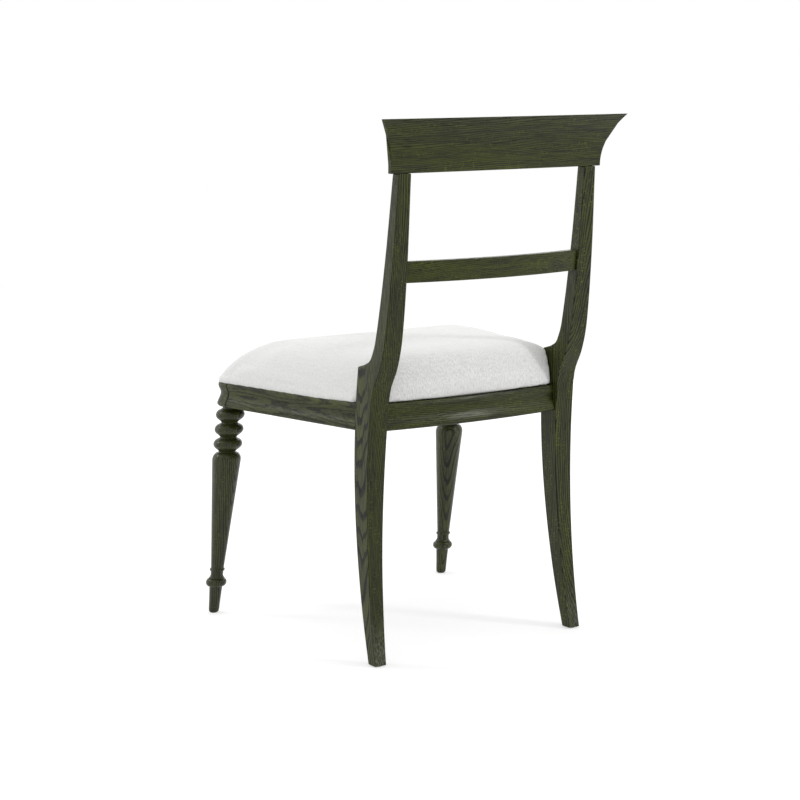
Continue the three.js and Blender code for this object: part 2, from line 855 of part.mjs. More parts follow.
function screwSink(site) {
  const start = site.start.clone().addScaledVector(site.way, -screwSinkReach);
  const length = screwSinkReach + screwHeadHeight + holeClearance;
  return rod(start, site.way, screwHeadRadius + holeClearance, length);
}

function cornerBlock(corner) {
  const plan = cornerPlans[corner].map(([x, y]) => new THREE.Vector2(x, y));
  const rings = [cornerBlockBottom, seatRailTop].map((z) => plan.map(({ x, y }) => point(x, y, z)));
  const sites = cornerScrewSites().filter((site) => site.corner === corner);
  return cut(loft(rings, plan), [...sites.map(screwHole), ...sites.map(screwSink)]);
}

// Upholstered seat: a plywood board, foam over it and a linen cover turned under the board

// Level outline of the seat, drawn in by some distance from the top edge of the rails
function seatOutline(inset, height) {
  const out = coveTopOut - inset;
  const sideX = (y) => sideWaist(y) + out * sideSecant;
  const rearY = (x) => rearWaist(x) + out;
  const rearCorner = sideX(rearWaistAtLegs);
  const rear = evenly(-rearCorner, rearCorner, cushionRearSteps).map((x) => [x, rearY(x)]);
  const arc = cornerArc(out);
  const [arcStartY, arcEndX] = [arc[0][1], arc.at(-1)[0]];
  const side = evenly(rearY(rearCorner), arcStartY, cushionSideSteps).slice(1, -1).map((y) => [sideX(y), y]);
  const front = evenly(arcEndX, -arcEndX, cushionFrontSteps).slice(1, -1).map((x) => [x, frontWaist - out]);
  const leftHalf = [...side, ...arc];
  const rightHalf = leftHalf.map(([x, y]) => [-x, y]).reverse();
  return [...rear, ...leftHalf, ...front, ...rightHalf].map(([x, y]) => point(x, y, height));
}

// Parts of the seat's depth over which the cushion's sides turn into its front and its rear
const frontZoneShares = [0.066, 0.311];
const rearZoneShares = [0.823, 0.974];

// Wall, shoulder, fullness and dome of the cushion, mixed from their rear, side and front values
function cushionEdge({ y }) {
  const share = (y + seatFrontReach) / (rearWaistAtLegs + seatFrontReach);
  const rear = THREE.MathUtils.smoothstep(share, ...rearZoneShares);
  const front = 1 - THREE.MathUtils.smoothstep(share, ...frontZoneShares);
  const mixed = (atRear, atSide, atFront) => rear * atRear + (1 - rear - front) * atSide + front * atFront;
  const wall = mixed(rearWallHeight, sideWallHeight, frontWallHeight);
  const shoulder = mixed(rearShoulderHeight, sideShoulderHeight, frontShoulderHeight);
  const fullness = mixed(rearShoulderFullness, sideShoulderFullness, frontShoulderFullness);
  return { wall, shoulder, fullness, dome: cushionHeight - wall - shoulder };
}

// Above the wall the outline shrinks toward a point near the back, where the crown is highest
const domeShares = [0.975, 0.94, 0.89, 0.82, 0.74, 0.63, 0.46, 0.22];

// The whole cushion's outer form, or one layer further in
function cushionForm(inset, base) {
  const edges = seatOutline(0, 0).map(cushionEdge);
  const foot = seatOutline(cushionDrawIn + inset, base);
  const rim = seatOutline(inset, cushionBase - inset);
  const raised = (share, riseOf) => rim.map((corner, i) => point(
    corner.x * share,
    THREE.MathUtils.lerp(crownMiddle, corner.y, share),
    corner.z + riseOf(edges[i]),
  ));
  const dome = domeShares.map((share) => raised(share, (edge) => (
    edge.wall + edge.shoulder * (1 - share ** edge.fullness) + edge.dome * (1 - share ** crownFullness)
  )));
  const rings = [foot, raised(1, ({ wall }) => wall / 2), raised(1, ({ wall }) => wall), ...dome];
  return loft(rings, flatOf(rings[0], 'x', 'y'));
}

function postNotch(wall, side) {
  const inner = rearLegInnerRun(seatRailTop) - cushionPostGap - wall;
  const front = legFrontAt(seatRailTop) - cushionPostGap - wall;
  const low = point(inner, front, railBottom);
  const high = point(seatFrontHalfWidth, postBackAtTop, postTop);
  const notch = boxBetween(low, high);
  return side > 0 ? notch : mirrored(notch);
}

function notchedForm(inset, base) {
  return cut(cushionForm(inset, base), [postNotch(inset, 1), postNotch(inset, -1)]);
}

function prismOver(outline, low, high) {
  const rings = [low, high].map((z) => outline.map(({ x, y }) => point(x, y, z)));
  return loft(rings, flatOf(outline, 'x', 'y'));
}

const boardBottom = cushionBase + fabricThickness + jointGap;
const foamBottom = boardBottom + boardThickness + jointGap;
const liningInset = fabricThickness + jointGap;

function seatCover() {
  const lining = notchedForm(fabricThickness, cushionBase + fabricThickness);
  const opening = prismOver(seatOutline(hemWidth, 0), cushionBase - cutOverrun, foamBottom);
  return cut(notchedForm(0, cushionBase), [lining, opening]);
}

function seatFoam() {
  const below = prismOver(seatOutline(-cutOverrun, 0), railBottom, foamBottom);
  return cut(notchedForm(liningInset, boardBottom), [below]);
}

function seatBoard() {
  const above = prismOver(seatOutline(-cutOverrun, 0), boardBottom + boardThickness, postTop);
  const screws = cornerScrewSites().filter(({ intoBoard }) => intoBoard).map(screwHole);
  return cut(notchedForm(liningInset, boardBottom), [above, ...screws, ...screws.map(mirrored)]);
}

function dustCover() {
  const half = ['front', 'rear'].flatMap((corner) => {
    const [, alongRail, alongSide] = cornerPlans[corner];
    return corner === 'front' ? [alongRail, alongSide] : [alongSide, alongRail];
  });
  const drawnIn = half.map(([x, y]) => [x - dustCoverMargin, y - Math.sign(y) * dustCoverMargin]);
  const bothHalves = [...drawnIn, ...drawnIn.map(([x, y]) => [-x, y]).reverse()];
  const outline = bothHalves.map(([x, y]) => point(x, y, 0));
  return prismOver(outline, seatRailTop - dustCoverThickness, seatRailTop);
}

// Assembly

addPair('rear_leg', rearLeg(), stainedOak);
addPair('front_leg', frontLeg(), stainedOak);
addPiece('crest_rail', crestRail(), stainedOak);
addPiece('back_slat', backSlat(), stainedOak);
addPiece('rear_seat_rail', rearRail(), stainedOak);
addPiece('front_seat_rail', frontRail(), stainedOak);
addPair('side_seat_rail', sideRail(), stainedOak);
addPair('front_corner_block', cornerBlock('front'), beech);
addPair('rear_corner_block', cornerBlock('rear'), beech);
addPiece('seat_board', seatBoard(), plywood);
addPiece('seat_foam', seatFoam(), foam);
addPiece('seat_cover', seatCover(), linen);
addPiece('dust_cover', dustCover(), blackCloth);
addPair('rear_glide', glide(footCentre()), nylon);
addPair('front_glide', glide(frontAxis(0)), nylon);
dowelSites().forEach(({ joint, level, start, way }) => {
  addPair(`${joint}_dowel_${level}`, rod(start, way, dowelRadius, dowelLength), beech);
});
crestDowelSites().forEach(({ name, start, way }) => {
  addPair(`crest_dowel_${name}`, rod(start, way, crestDowelRadius, crestDowelLength), beech);
});
cornerScrewSites().forEach((site) => {
  const into = site.intoBoard ? 'seat' : `${site.rail}_rail`;
  addPair(`${site.corner}_block_screw_to_${into}`, screw(site), steel);
});

// The origin is on the floor under the middle of the chair's box
const reach = new THREE.Box3().setFromObject(chair);
chair.position.y = -(reach.min.y + reach.max.y) / 2;

export default chair;
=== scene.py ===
import math

import bmesh
import bpy
from mathutils import Matrix, Vector


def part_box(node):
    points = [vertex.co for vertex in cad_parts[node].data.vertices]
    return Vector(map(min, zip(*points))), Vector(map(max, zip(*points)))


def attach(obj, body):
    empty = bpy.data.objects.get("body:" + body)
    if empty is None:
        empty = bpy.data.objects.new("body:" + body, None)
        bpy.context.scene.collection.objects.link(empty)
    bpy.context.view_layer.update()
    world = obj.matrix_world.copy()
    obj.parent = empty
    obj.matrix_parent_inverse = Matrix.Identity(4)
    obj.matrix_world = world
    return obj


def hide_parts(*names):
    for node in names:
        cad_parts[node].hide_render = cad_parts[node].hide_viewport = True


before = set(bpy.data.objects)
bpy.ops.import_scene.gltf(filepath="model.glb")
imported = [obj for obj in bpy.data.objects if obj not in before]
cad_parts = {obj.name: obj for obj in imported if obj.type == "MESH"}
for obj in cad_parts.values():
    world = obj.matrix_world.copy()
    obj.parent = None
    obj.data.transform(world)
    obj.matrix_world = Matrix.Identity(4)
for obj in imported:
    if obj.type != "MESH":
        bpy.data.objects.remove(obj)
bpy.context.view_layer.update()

# Rear legs and posts.
# Each is one length of stained oak, band-sawn to a sabre curve from the floor up to the crest rail, with an
# ear in front of the post that stands at the corner of the seat. The long edges are eased by hand.
seat_rail_top = 447
rail_height = 46.2
chair_height = 927
crest_height = 89.3
joint_gap = 0.3
glide_thickness = 1.5
ear_height = 64
ear_slope_rise = 5.5
post_sweep_rise = 43.5
post_back_at_top = 255.6
leg_edge = 1.6
foot_edge = 0.4
rail_bottom = seat_rail_top - rail_height
post_top = chair_height - crest_height
leg_bottom = glide_thickness + joint_gap
ear_top = seat_rail_top + ear_height
shoulder = ear_top + ear_slope_rise
sweep_top = shoulder + post_sweep_rise
depth_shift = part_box("rear_leg_left")[1].y * 1000 - post_back_at_top


def evenly(start, end, count):
    return [start + (end - start) * i / count for i in range(count + 1)]


def smooth_through(places):
    """A smooth value over height through a few known ones."""
    def slope(i):
        before, after = places[max(i - 1, 0)], places[min(i + 1, len(places) - 1)]
        return (after[1] - before[1]) / (after[0] - before[0])

    def value(height):
        i = 0
        while i < len(places) - 2 and height > places[i + 1][0]:
            i += 1
        (start, low), (end, high) = places[i], places[i + 1]
        span = end - start
        t = min(max((height - start) / span, 0), 1)
        bend = t * (1 - t) * span * ((1 - t) * slope(i) - t * slope(i + 1))
        return low + (high - low) * (3 - 2 * t) * t * t + bend
    return value


def sabre(height, waist_height, waist_depth, radius):
    """How far back the leg's curve stands at a height. It is furthest forward at its waist."""
    return waist_depth + (height - waist_height) ** 2 / (2 * radius)


def sabre_back(height):
    return sabre(height, waist_height=275, waist_depth=174.8, radius=1500)


def sabre_front(height):
    return sabre(height, waist_height=345, waist_depth=135, radius=1390)


# Distances from the chair's middle to the sides of the left leg, over height
leg_outer = smooth_through([(0, 223.6), (seat_rail_top, 218.8), (post_top, 206.4)])
leg_inner = smooth_through([(0, 201), (129.6, 194.2), (seat_rail_top, 180.9), (post_top, 181.5)])

# The post leans back by shares of its lean at shares of its height, and thins from the shoulder up
post_lean = ((0.074, 0.094), (0.163, 0.354), (0.29, 0.563), (0.62, 0.813), (1, 1))
post_back = smooth_through(
    [(height, sabre_back(height)) for height in (seat_rail_top - rail_height / 2, seat_rail_top)]
    + [(seat_rail_top + (post_top - seat_rail_top) * rise,
        sabre_back(seat_rail_top) + (post_back_at_top - sabre_back(seat_rail_top)) * reach)
       for rise, reach in post_lean])
post_depth = smooth_through(
    [(shoulder, 47.4), (shoulder + 0.17 * post_sweep_rise, 35.93),
     (shoulder + 0.54 * post_sweep_rise, 31.31), (sweep_top, 28.9), (post_top, 18.3)])


def leg_back(height):
    return sabre_back(height) if height < seat_rail_top else post_back(height)


def leg_front(height):
    return sabre_front(height) if height < shoulder else post_back(height) - post_depth(height)


def formed(rows):
    """A solid drawn through a row of like outlines: a grid is laid over them, welded and capped."""
    bm = bmesh.new()
    along, around = len(rows) - 1, len(rows[0])
    bmesh.ops.create_grid(bm, x_segments=along, y_segments=around, size=1)
    for vert in bm.verts:
        station = round((vert.co.x + 1) / 2 * along)
        corner = round((vert.co.y + 1) / 2 * around) % around
        vert.co = rows[station][corner]
    bmesh.ops.remove_doubles(bm, verts=bm.verts, dist=0.001)
    bmesh.ops.holes_fill(bm, edges=bm.edges, sides=0)
    bmesh.ops.recalc_face_normals(bm, faces=bm.faces)
    return bm


def eased(bm, width, where=None, sharp_angle=math.radians(35)):
    """Rounds over the sharp edges, or those of them whose middle passes the test."""
    sharp = [edge for edge in bm.edges
             if len(edge.link_faces) == 2 and edge.calc_face_angle() > sharp_angle
             and (where is None or where((edge.verts[0].co + edge.verts[1].co) / 2))]
    bmesh.ops.bevel(bm, geom=sharp, offset=width, segments=3, profile=0.5, affect="EDGES",
                    material=-1, clamp_overlap=True)
    return bm


def other_side(bm):
    """The same piece for the right side of the chair."""
    copy = bm.copy()
    bmesh.ops.scale(copy, verts=copy.verts, vec=(-1, 1, 1))
    bmesh.ops.reverse_faces(copy, faces=copy.faces)
    return copy


def as_object(bm, name):
    mesh = bpy.data.meshes.new(name)
    bm.to_mesh(mesh)
    bm.free()
    piece = bpy.data.objects.new(name, mesh)
    bpy.context.scene.collection.objects.link(piece)
    return piece


def fitted(bm, name, material, slot, *nodes):
    """Sets a mesh drawn in millimetres into the model as a piece that stands for some of its nodes."""
    bmesh.ops.translate(bm, verts=bm.verts, vec=(0, depth_shift, 0))
    bmesh.ops.scale(bm, verts=bm.verts, vec=(0.001, 0.001, 0.001))
    piece = as_object(bm, name)
    piece.data.shade_smooth()
    piece.data.materials.append(material)
    piece.modifiers.new("even shading", "WEIGHTED_NORMAL").keep_sharp = True
    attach(piece, "root")
    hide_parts(*nodes)
    return piece


def srgb(code):
    """A colour written as it is seen, brought to the linear values that shaders take."""
    parts = [int(code[i:i + 2], 16) / 255 for i in (0, 2, 4)]
    return [part / 12.92 if part <= 0.04045 else ((part + 0.055) / 1.055) ** 2.4 for part in parts] + [1]


def add(tree, kind, inputs=(), stops=(), **settings):
    """Adds a node with its settings and links.

    Inputs come in order or by socket. Each is a value, an output, or a node for its first output in use.
    Stops are a ramp's places, each with a colour or with a number for a grey.
    """
    node = tree.nodes.new("ShaderNode" + kind)
    for name, value in settings.items():
        setattr(node, name, value)
    for socket, value in inputs.items() if isinstance(inputs, dict) else enumerate(inputs):
        if isinstance(value, bpy.types.Node):
            value = next(output for output in value.outputs if output.enabled)
        if isinstance(value, bpy.types.NodeSocket):
            tree.links.new(value, node.inputs[socket])
        else:
            node.inputs[socket].default_value = value
    for stop in stops[2:]:
        node.color_ramp.elements.new(1)
    for i, (position, colour) in enumerate(stops):
        node.color_ramp.elements[i].position = position
        node.color_ramp.elements[i].color = colour if isinstance(colour, list) else [colour] * 3 + [1]
    return node


def blank_material(name):
    """A material without nodes, and the tree to put them in."""
    material = bpy.data.materials.new(name)
    material.use_nodes = True
    material.node_tree.nodes.clear()
    return material, material.node_tree


# Stained oak: open-grained oak, stained a dark olive green and given a thin satin lacquer. The stain gathers
# in the soft early wood and its pores, so each year's ring is a near-black line in front of olive late wood.
# Faces that cut across the rays show yellow-green flecks, and the lacquer gives a soft, narrow gloss.
def stained_oak(name, heart, lean, seed, turn=(0, 0, 0), ring=3.8, contrast=1.0, flecks=0.38, coat=0.03,
                painted_foot_highlight=0.0):
    """Oak from its own place in its own tree.

    turn brings the grain upright, and heart is where the tree's heart then stands in millimetres. The rings
    lean by lean for each millimetre up, ring is the width of a year, and seed keeps two pieces from being
    alike. The others are strengths.
    """
    material, tree = blank_material(name)
    upright = add(tree, "Mapping", {
        "Vector": add(tree, "TexCoord").outputs["Object"], "Rotation": turn, "Scale": (1000, 1000, 1000),
        "Location": (-heart[0], -heart[1], 0)})

    def grain_noise(vector, across, along, detail=1.0, roughness=0.5, offset=0.0):
        """Noise in patches of some millimetres across the grain and more along it."""
        stretched = add(tree, "VectorMath", (vector, (1 / across, 1 / across, 1 / along)),
                        operation="MULTIPLY")
        return add(tree, "TexNoise", {
            "Vector": stretched, "W": seed + offset, "Scale": 1.0, "Detail": detail,
            "Roughness": roughness}, noise_dimensions="4D")

    # The grain wanders by some millimetres over a hand's length
    wander = grain_noise(upright, across=60, along=420, detail=2)
    wander = add(tree, "VectorMath", (wander.outputs["Color"], (0.5, 0.5, 0.5)), operation="SUBTRACT")
    wander = add(tree, "VectorMath", (wander, (26, 26, 0)), operation="MULTIPLY")
    grain = add(tree, "VectorMath", (upright, wander), operation="ADD")
    flat = add(tree, "VectorMath", (grain, (1, 1, 0)), operation="MULTIPLY")
    radius = add(tree, "VectorMath", (flat,), operation="LENGTH")
    parts = add(tree, "SeparateXYZ", (grain,)).outputs

    # Years are counted out from the heart. Each starts with dark early wood, and some are weaker than others.
    reach = add(tree, "Math", (parts["Z"], lean, radius), operation="MULTIPLY_ADD")
    uneven = grain_noise(grain, across=18, along=170, detail=2, offset=3.1)
    uneven = add(tree, "Math", (uneven, 5.0), operation="MULTIPLY")
    years = add(tree, "Math", (reach, uneven), operation="ADD")
    years = add(tree, "Math", (years, ring), operation="DIVIDE")
    season = add(tree, "ValToRGB", (add(tree, "Math", (years,), operation="FRACT"),), stops=(
        (0, 0.45), (0.05, 0.0), (0.27, 0.02), (0.41, 0.88), (0.75, 1.0), (1.0, 0.95)))
    year = add(tree, "TexWhiteNoise", {"W": add(tree, "Math", (years,), operation="FLOOR")},
               noise_dimensions="1D")
    strength = add(tree, "MapRange", {"Value": year, "From Min": -0.7, "From Max": 0.3})
    strength = add(tree, "Math", (strength, contrast), operation="MULTIPLY")
    late = add(tree, "Mix", {0: strength, 6: (1, 1, 1, 1), 7: season}, data_type="RGBA")

    # Pores lie in the early wood. They are drawn at about 1.2 mm, four times their real width, so that they
    # show.
    early = add(tree, "Math", (1.0, season), operation="SUBTRACT")
    pores = add(tree, "MapRange", {
        "Value": grain_noise(grain, across=1.3, along=24, offset=7.7), "From Min": 0.52, "From Max": 0.66})
    pores = add(tree, "Math", (
        pores, add(tree, "MapRange", {"Value": early, "From Min": -0.7, "From Max": 0.6})),
        operation="MULTIPLY")

    # Rays run out from the heart, and show as flecks 9 mm deep, 3 mm high and 1.8 mm wide, or wider where
    # the heart is more than 90 mm away. They lie in patches along the grain.
    around = add(tree, "Math", (parts["Y"], parts["X"]), operation="ARCTAN2")
    around = add(tree, "Math", (around, 90), operation="MULTIPLY")
    rays = add(tree, "TexNoise", {
        "Vector": add(tree, "CombineXYZ", [
            add(tree, "Math", (distance, size), operation="DIVIDE")
            for distance, size in ((radius, 9), (around, 1.8), (parts["Z"], 3.0))]),
        "W": seed, "Scale": 1.0, "Detail": 1.0}, noise_dimensions="4D")
    rays = add(tree, "MapRange", {"Value": rays, "From Min": 0.56, "From Max": 0.68})
    patches = add(tree, "MapRange", {
        "Value": grain_noise(grain, across=16, along=70, offset=17.3), "From Min": 0.4, "From Max": 0.6})
    rays = add(tree, "Math", (rays, patches), operation="MULTIPLY")

    # Faces cut along the rings are paler and greyer than those cut across them
    facing = add(tree, "Mapping", {
        "Vector": add(tree, "NewGeometry").outputs["Normal"], "Rotation": turn}, vector_type="VECTOR")
    outward = add(tree, "VectorMath", (flat,), operation="NORMALIZE")
    along_rings = add(tree, "VectorMath", (facing, outward), operation="DOT_PRODUCT")
    along_rings = add(tree, "Math", (along_rings,), operation="ABSOLUTE")
    plain_sawn = add(tree, "MapRange", {"Value": along_rings, "From Min": 0.55, "From Max": 0.95})

    # The back of a foot, low down, is painted paler in speckles along the grain: a painted highlight where
    # light from behind would glance off it
    low = add(tree, "MapRange", {"Value": parts["Z"], "From Min": 85, "From Max": 25})
    highlight_speckle = add(tree, "MapRange", {
        "Value": grain_noise(grain, across=1.5, along=9, offset=23.1), "From Min": 0.4, "From Max": 0.65})
    backward = add(tree, "MapRange", {
        "Value": add(tree, "SeparateXYZ", (facing,)).outputs["Y"], "From Min": 0.5, "From Max": 0.9})
    scuffs_and_painted_highlight = add(tree, "Math", (low, highlight_speckle), operation="MULTIPLY")
    scuffs_and_painted_highlight = add(tree, "Math", (scuffs_and_painted_highlight, backward), operation="MULTIPLY")

    # Late wood is mixed from three olives, and the rest is laid over it
    broad = grain_noise(grain, across=14, along=260, detail=2, roughness=0.55, offset=11.3)
    fine = grain_noise(grain, across=2.2, along=60, detail=2, roughness=0.6, offset=5.9)
    olive = add(tree, "Mix", {
        0: add(tree, "MapRange", {"Value": broad, "From Min": 0.4, "From Max": 0.62}),
        6: srgb("2a2e1b"), 7: srgb("414618")}, data_type="RGBA")
    olive = add(tree, "Mix", {
        0: add(tree, "MapRange", {"Value": fine, "From Min": 0.38, "From Max": 0.72}),
        6: olive, 7: srgb("4c5126")}, data_type="RGBA")
    olive = add(tree, "Mix", {
        0: add(tree, "Math", (plain_sawn, 0.06), operation="MULTIPLY"),
        6: olive, 7: srgb("63665a")}, data_type="RGBA")
    colour = add(tree, "Mix", {0: late, 6: srgb("0b0d0a"), 7: olive}, data_type="RGBA")
    # The last of these marks is the painted highlight on the back of the feet
    for mark, amount, tint in (
            (rays, flecks, "686c1e"), (pores, 0.85, "10130e"), (scuffs_and_painted_highlight, painted_foot_highlight, "787b74")):
        share = add(tree, "Math", (mark, amount), operation="MULTIPLY")
        colour = add(tree, "Mix", {0: share, 6: colour, 7: srgb(tint)}, data_type="RGBA")

    height = add(tree, "Math", (late, 0.35), operation="MULTIPLY")
    height = add(tree, "Math", (height, pores), operation="SUBTRACT")
    height = add(tree, "Math", (fine, 1.6, height), operation="MULTIPLY_ADD")
    rough = add(tree, "Math", (broad, 0.12, 0.3), operation="MULTIPLY_ADD")
    rough = add(tree, "Math", (pores, 0.25, rough), operation="MULTIPLY_ADD")
    add(tree, "OutputMaterial", {"Surface": add(tree, "BsdfPrincipled", {
        "Base Color": colour, "Roughness": rough, "IOR": 1.5, "Specular IOR Level": 0.16,
        "Coat Weight": coat, "Coat Roughness": 0.12,
        "Normal": add(tree, "Bump", {"Strength": 0.5, "Distance": 0.0004, "Height": height})})})
    return material


leg_heights = (evenly(leg_bottom, rail_bottom, count=60) + evenly(rail_bottom, ear_top, count=14)[1:]
               + evenly(shoulder, sweep_top, count=22) + evenly(sweep_top, post_top, count=34)[1:])
rear_leg = formed([[
    (leg_inner(height), leg_front(height), height),
    (leg_outer(height), leg_front(height), height),
    (leg_outer(height), leg_back(height), height),
    (leg_inner(height), leg_back(height), height)] for height in leg_heights])
eased(rear_leg, leg_edge, lambda middle: middle.z > leg_bottom + 0.5)
eased(rear_leg, foot_edge, lambda middle: middle.z < leg_bottom + 0.5)
rear_leg_right = other_side(rear_leg)
# Both rear legs carry the painted highlight on the back of the foot, the left one more
fitted(rear_leg, "rear_leg_and_post_left",
       stained_oak("stained_oak_leg_left", heart=(265, 160), lean=-0.065, seed=1.0, ring=2.5, contrast=1.4,
                   painted_foot_highlight=0.6),
       "stained_oak", "rear_leg_left")
fitted(rear_leg_right, "rear_leg_and_post_right",
       stained_oak("stained_oak_leg_right", heart=(-295, 75), lean=-0.04, seed=4.0, ring=3.0, flecks=0.7,
                   painted_foot_highlight=0.35),
       "stained_oak", "rear_leg_right")

# Seat rails.
# Four lengths of the same oak with one moulded face: a small bead under the top edge, a cove, and a flare
# above the lip. They are dowelled and glued between the legs, and the rear one is bowed.
front_reach = 253.5
front_half_width = 284
cove_top_out = 1.8
cove_flare_out = 7.1
flare_height = rail_bottom + 5
rail_thickness = 24
rail_edge = 1.1
side_rail_setback = 1.6
rear_rail_setback = 3
rear_rail_bow = 13
front_block_width = 46.5
front_block_depth = 41.05
side_slope = (front_half_width - leg_outer(flare_height)) / (front_reach + sabre_front(seat_rail_top))
side_secant = math.hypot(1, side_slope)
front_waist = -front_reach + cove_flare_out
side_joint = front_waist + front_block_depth
cove = smooth_through([(rail_bottom, 4), (flare_height, cove_flare_out), (seat_rail_top - 21.5, 0),
                       (seat_rail_top - 8, 4.2), (seat_rail_top, cove_top_out)])
rear_waist_at_legs = leg_back(flare_height) - rear_rail_setback - cove_flare_out


def side_waist(y):
    return front_half_width - side_slope * (y + front_reach) - cove_flare_out * side_secant


def rear_waist(x):
    return rear_waist_at_legs + rear_rail_bow * (1 - (x / leg_inner(seat_rail_top)) ** 2)


front_joint = side_waist(front_waist + front_block_depth / 2) - front_block_width
cove_heights = evenly(seat_rail_top, rail_bottom, count=30)
rail_section = ([(cove(height), height) for height in cove_heights]
                + [(-rail_thickness, rail_bottom), (-rail_thickness, seat_rail_top)])


def side_rail_at(share):
    row = []
    for out, height in rail_section:
        start, end = side_joint + joint_gap + side_rail_setback, leg_front(height) - joint_gap
        y = start + (end - start) * share
        row.append((side_waist(y) + out * side_secant, y, height))
    return row


def rear_rail_at(share):
    row = []
    for out, height in rail_section:
        x = share * (leg_inner(height) - joint_gap)
        row.append((x, rear_waist(x) + out, height))
    return row


side_rail = formed([side_rail_at(share) for share in evenly(0, 1, count=24)])
eased(side_rail, rail_edge)
side_rail_right = other_side(side_rail)
grain_along_y = (math.radians(90), 0, 0)
grain_along_x = (0, math.radians(90), 0)
fitted(side_rail, "side_seat_rail_moulded_left",
       stained_oak("stained_oak_side_rail_left", heart=(150, -420), lean=side_slope - 0.018, seed=2.0,
                   turn=grain_along_y, ring=3.6, contrast=0.7),
       "stained_oak", "side_seat_rail_left")
fitted(side_rail_right, "side_seat_rail_moulded_right",
       stained_oak("stained_oak_side_rail_right", heart=(-140, -430), lean=side_slope - 0.02, seed=6.0,
                   turn=grain_along_y, ring=3.6, contrast=0.7),
       "stained_oak", "side_seat_rail_right")

rear_rail = formed([rear_rail_at(share) for share in evenly(-1, 1, count=60)])
eased(rear_rail, rail_edge)
fitted(rear_rail, "rear_seat_rail_moulded",
       stained_oak("stained_oak_rear_rail", heart=(240, 176), lean=0.04, seed=8.0, turn=grain_along_x,
                   ring=3.2, contrast=0.8),
       "stained_oak", "rear_seat_rail")

front_rail = formed([[(share * (front_joint - joint_gap), front_waist - out, height)
                      for out, height in rail_section] for share in evenly(-1, 1, count=40)])
eased(front_rail, rail_edge)
fitted(front_rail, "front_seat_rail_moulded",
       stained_oak("stained_oak_front_rail", heart=(425, -190), lean=0.04, seed=9.0, turn=grain_along_x),
       "stained_oak", "front_seat_rail")

# Front legs.
# Each is one turning of the same oak: a square block at the seat with the rails' moulding carried round its
# rounded corner, three beads, a tapered shaft and a ringed ankle. The shaft rakes forward and outward.
rake_share = 0.1457
splay_share = 0.0328
corner_radius = 24.5
smallest_corner = 5
block_edge = 2.6
shaft_foot_height, shaft_foot_radius = 89.7, 12.1
shaft_round = 15
neck_radius = 15
bead_swell = 11.5
bead_heights = [326, 353.75, 381.5]
turning_into_block = 10
rail_middle = seat_rail_top - rail_height / 2
block_middle = (front_joint + front_block_width / 2, front_waist + front_block_depth / 2)


def corner_arc(out):
    """The rounded front corner of the seat's plan, some distance out from the moulding's waist."""
    radius = max(corner_radius + out, smallest_corner)
    centre_y = front_waist - out + radius
    centre_x = side_waist(centre_y) + (out - radius) * side_secant
    turns = evenly(math.atan(side_slope), -math.pi / 2, count=20)
    return [(centre_x + radius * math.cos(turn), centre_y + radius * math.sin(turn)) for turn in turns]


block = formed([[(x, y, height) for x, y in (
    [(side_waist(side_joint) + cove(height) * side_secant, side_joint)] + corner_arc(cove(height))
    + [(front_joint, front_waist - cove(height)), (front_joint, side_joint)])] for height in cove_heights])
eased(block, block_edge)


def round_bead(centre, half_height, inner, outer, steps=12):
    return [(inner + (outer - inner) * math.cos(turn), centre + half_height * math.sin(turn))
            for turn in evenly(-math.pi / 2, math.pi / 2, steps)]


# The three beads are alike, and fuller above their middle. The outline goes up from the foot as radius and
# height: foot, ankle bead, neck, ring, shaft, beads, and the end that runs into the block.
bead_pitch = bead_heights[1] - bead_heights[0]
bead_curve = smooth_through([
    (-1.02, 0), (-0.93, 0.02), (-0.77, 0.17), (-0.59, 0.45), (-0.36, 0.77), (-0.1, 0.96), (0.14, 1),
    (0.41, 0.91), (0.68, 0.67), (0.87, 0.25), (1, 0)])
shaft_top = bead_heights[0] - bead_pitch / 2 - shaft_round
turned_outline = (
    [(0, leg_bottom), (8.6, leg_bottom), (9.3, leg_bottom + 0.7), (9.9, 8), (10.5, 22), (11.3, 38),
     (11.9, 47)]
    + round_bead(59.5, 8, 12, 19.3)
    + [(14.5, 67.8), (14.2, 68.6), (12.6, 70.6), (11.8, 73), (11.6, 75.5), (11.7, 78.5), (11.9, 81.6)]
    + round_bead(84.5, 2.5, 12, 14, steps=8)
    + [(shaft_foot_radius, shaft_foot_height)]
    + [(shaft_foot_radius + (neck_radius + bead_swell - shaft_foot_radius) * share,
        shaft_foot_height + (shaft_top - shaft_foot_height) * share)
       for share in evenly(0, 1, count=16)[1:-1]]
    + [(neck_radius + bead_swell * math.cos(turn), shaft_top + shaft_round * math.sin(turn))
       for turn in evenly(0, math.pi / 2, count=10)]
    + [(neck_radius + bead_swell * bead_curve(rise), height + rise * bead_pitch / 2)
       for height in bead_heights for rise in evenly(-1, 1, count=22)[1:]]
    + [(neck_radius, rail_bottom + turning_into_block), (0, rail_bottom + turning_into_block)])
turning = bmesh.new()
corners = [turning.verts.new((radius, 0, height)) for radius, height in turned_outline]
outline = [turning.edges.new(pair) for pair in zip(corners, corners[1:])]
bmesh.ops.spin(turning, geom=corners + outline, cent=(0, 0, 0), axis=(0, 0, 1), angle=2 * math.pi,
               steps=64, use_merge=True)
bmesh.ops.remove_doubles(turning, verts=turning.verts, dist=0.001)
bmesh.ops.recalc_face_normals(turning, faces=turning.faces)
bmesh.ops.transform(turning, verts=turning.verts, matrix=Matrix((
    (1, 0, -splay_share, block_middle[0] + rail_middle * splay_share),
    (0, 1, rake_share, block_middle[1] - rail_middle * rake_share),
    (0, 0, 1, 0), (0, 0, 0, 1))))
leg_mesh = bpy.data.meshes.new("turning")
turning.to_mesh(leg_mesh)
turning.free()
block.from_mesh(leg_mesh)
front_leg_right = other_side(block)
along_shaft = (math.atan(rake_share), 0, 0)
fitted(block, "front_leg_turned_left",
       stained_oak("stained_oak_turned_left", heart=(347, -395), lean=0.0, seed=12.0, turn=along_shaft,
                   ring=2.9, flecks=0.3, coat=0.25),
       "stained_oak", "front_leg_left")
